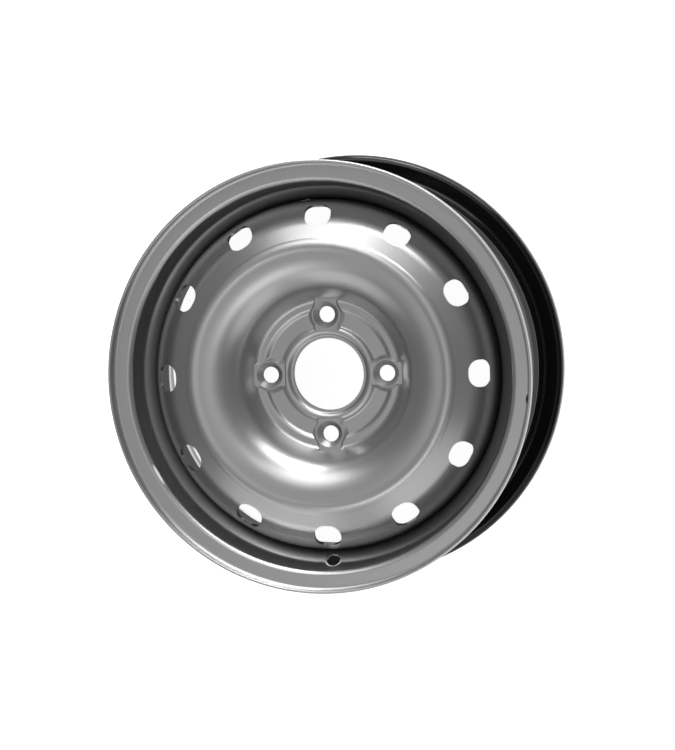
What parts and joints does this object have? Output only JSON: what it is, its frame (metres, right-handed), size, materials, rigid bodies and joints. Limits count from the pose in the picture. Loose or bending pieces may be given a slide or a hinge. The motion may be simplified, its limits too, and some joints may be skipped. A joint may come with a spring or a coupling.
{
  "type": "steel wheel rim",
  "caption": "Pressed-steel road wheel: a rolled drop-centre rim with curled flanges and a welded, vented disc with a centre bore and conical bolt seats.",
  "frame": {"origin": "centre of the hub bore in the plane of the hub's mounting face", "axes": "+Z along the wheel's axis, outboard; the valve hole lies towards -Y"},
  "size_m": [0.3894, 0.3892, 0.1628],
  "materials": {
    "rim_paint": "satin silver on the outboard side, gloss black primer on the tyre side and inside",
    "disc_paint": "satin silver on the outboard face, black primer on the back",
    "weld_paint": "black primer over weld metal"
  },
  "bodies": {
    "root": {"rim": "rim_paint", "disc": "disc_paint", "weld_beads": "weld_paint"}
  },
  "joints": []
}
